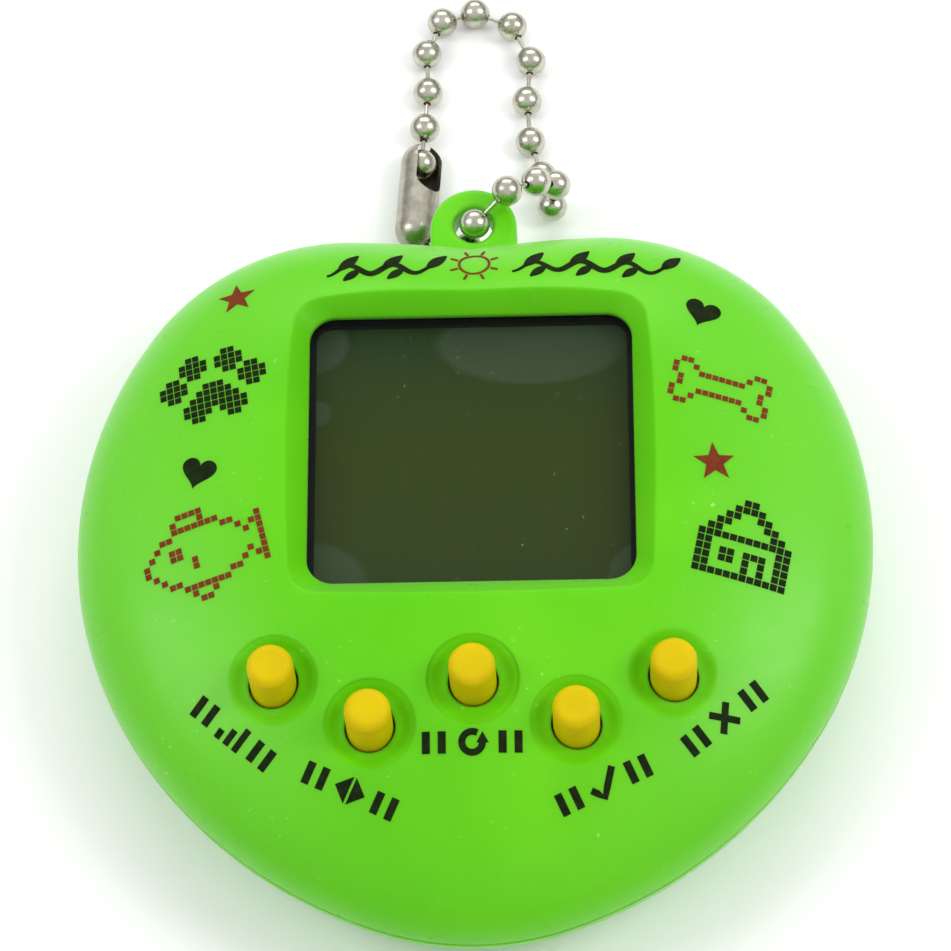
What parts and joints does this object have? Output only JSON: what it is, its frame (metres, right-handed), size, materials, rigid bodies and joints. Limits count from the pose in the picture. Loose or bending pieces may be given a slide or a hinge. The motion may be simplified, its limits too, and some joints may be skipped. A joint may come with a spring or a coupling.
{
  "type": "virtual pet keychain",
  "caption": "Pebble-shaped electronic pet in a green case with a small screen, yellow push buttons and a ball chain through its lug.",
  "frame": {"origin": "on the flat of the back, under the battery door", "axes": "+Z out of the screen, +Y towards the keyring lug, +X to the right seen from the front"},
  "size_m": [0.0602, 0.0838, 0.0192],
  "materials": {
    "case_green": "translucent moulded plastic, glossy",
    "button_yellow": "moulded plastic, satin",
    "lens_clear": "clear polished plastic",
    "gasket_black": "die-cut foam film",
    "polarizer_film": "grey-green polarising film",
    "lcd_glass": "thin display glass",
    "reflector_film": "olive reflective film",
    "grey_foam": "soft closed-cell foam",
    "zebra_rubber": "layered conductive silicone",
    "board_resin": "glass-fibre board with solder mask",
    "epoxy_black": "potting resin",
    "tan_ceramic": "fired ceramic",
    "mat_silicone": "translucent silicone rubber",
    "carbon_black": "conductive rubber",
    "plated_steel": "nickel-plated steel",
    "buzzer_brass": "rolled brass",
    "lead_red": "insulated wire",
    "lead_black": "insulated wire",
    "bead_nickel": "polished nickel plate",
    "clasp_nickel": "satin nickel plate",
    "ink_black": "pad-printed ink",
    "ink_red": "pad-printed ink"
  },
  "bodies": {
    "root": {"front_shell": "case_green", "rear_shell": "case_green", "screen_lens": "lens_clear", "screen_gasket": "gasket_black", "lcd_front_polarizer": "polarizer_film", "lcd_front_glass": "lcd_glass", "lcd_rear_glass": "lcd_glass", "lcd_reflector": "reflector_film", "lcd_cushion": "grey_foam", "zebra_strip_upper": "zebra_rubber", "zebra_strip_lower": "zebra_rubber", "circuit_board": "board_resin", "controller_blob": "epoxy_black", "clock_crystal": "plated_steel", "chip_capacitors": "tan_ceramic", "chip_resistors": "epoxy_black", "keypad_mat": "mat_silicone", "battery_cell_left": "plated_steel", "battery_cell_right": "plated_steel", "battery_contact_negative": "plated_steel", "battery_contact_positive": "plated_steel", "case_screws": "plated_steel", "board_screws": "plated_steel", "buzzer_disc": "buzzer_brass", "buzzer_ceramic": "tan_ceramic", "buzzer_lead_red": "lead_red", "buzzer_lead_black": "lead_black", "return_dome_far_left": "mat_silicone", "return_dome_left": "mat_silicone", "return_dome_center": "mat_silicone", "return_dome_right": "mat_silicone", "return_dome_far_right": "mat_silicone"},
    "button_far_left": {"button_far_left": "button_yellow", "carbon_pill_far_left": "carbon_black"},
    "button_left": {"button_left": "button_yellow", "carbon_pill_left": "carbon_black"},
    "button_center": {"button_center": "button_yellow", "carbon_pill_center": "carbon_black"},
    "button_right": {"button_right": "button_yellow", "carbon_pill_right": "carbon_black"},
    "button_far_right": {"button_far_right": "button_yellow", "carbon_pill_far_right": "carbon_black"},
    "battery_door": {"battery_door": "case_green", "battery_bridge": "plated_steel"},
    "battery_door_screw": {"battery_door_screw": "plated_steel"},
    "chain_near": {"chain_beads_near": "bead_nickel", "chain_pins_near": "bead_nickel"},
    "chain_lift": {"chain_beads_lift": "bead_nickel", "chain_pins_lift": "bead_nickel", "chain_connector": "clasp_nickel"},
    "chain_fold_1": {"chain_beads_fold_1": "bead_nickel", "chain_pins_fold_1": "bead_nickel"},
    "chain_fold_2": {"chain_beads_fold_2": "bead_nickel", "chain_pins_fold_2": "bead_nickel"},
    "chain_fold_3": {"chain_beads_fold_3": "bead_nickel", "chain_pins_fold_3": "bead_nickel"}
  },
  "joints": [
    {"name": "far_left_press", "type": "slide", "parent": "root", "child": "button_far_left", "axis": [0, 0, -1], "range_m": [0, 0.0007], "stiffness_N_per_m": 800, "springref_m": -0.0002, "deforming": ["return_dome_far_left"]},
    {"name": "left_press", "type": "slide", "parent": "root", "child": "button_left", "axis": [0, 0, -1], "range_m": [0, 0.0007], "stiffness_N_per_m": 800, "springref_m": -0.0002, "deforming": ["return_dome_left"]},
    {"name": "center_press", "type": "slide", "parent": "root", "child": "button_center", "axis": [0, 0, -1], "range_m": [0, 0.0007], "stiffness_N_per_m": 800, "springref_m": -0.0002, "deforming": ["return_dome_center"]},
    {"name": "right_press", "type": "slide", "parent": "root", "child": "button_right", "axis": [0, 0, -1], "range_m": [0, 0.0007], "stiffness_N_per_m": 800, "springref_m": -0.0002, "deforming": ["return_dome_right"]},
    {"name": "far_right_press", "type": "slide", "parent": "root", "child": "button_far_right", "axis": [0, 0, -1], "range_m": [0, 0.0007], "stiffness_N_per_m": 800, "springref_m": -0.0002, "deforming": ["return_dome_far_right"]},
    {"name": "battery_door_lift", "type": "slide", "parent": "root", "child": "battery_door", "axis": [0, 0, -1], "range_m": [0, 0.008]},
    {"name": "battery_door_screw_turn", "type": "hinge", "parent": "battery_door", "child": "battery_door_screw", "pos_m": [0, 0.0074, 0], "axis": [0, 0, -1], "continuous": true},
    {"name": "chain_swing", "type": "hinge", "parent": "root", "child": "chain_near", "pos_m": [0.0001, 0.0241, 0.0067], "axis": [0, 0, 1], "range_deg": [-15, 15]},
    {"name": "chain_loop_lift", "type": "hinge", "parent": "chain_near", "child": "chain_lift", "pos_m": [0.00046, 0.02968, 0.0014], "axis": [0.8049, 0.5923, -0.0359], "range_deg": [0, 15]},
    {"name": "chain_fold_1", "type": "hinge", "parent": "chain_lift", "child": "chain_fold_1", "pos_m": [0.00013, 0.03687, 0.00136], "axis": [0.9894, -0.1403, -0.0373], "range_deg": [-25, 25]},
    {"name": "chain_fold_2", "type": "hinge", "parent": "chain_fold_1", "child": "chain_fold_2", "pos_m": [0.00016, 0.04057, 0.0012], "axis": [0.9925, -0.1219, 0], "range_deg": [-25, 25]},
    {"name": "chain_fold_3", "type": "hinge", "parent": "chain_fold_2", "child": "chain_fold_3", "pos_m": [0.00024, 0.04416, 0.0012], "axis": [0.9937, -0.1119, 0], "range_deg": [-25, 25]}
  ]
}
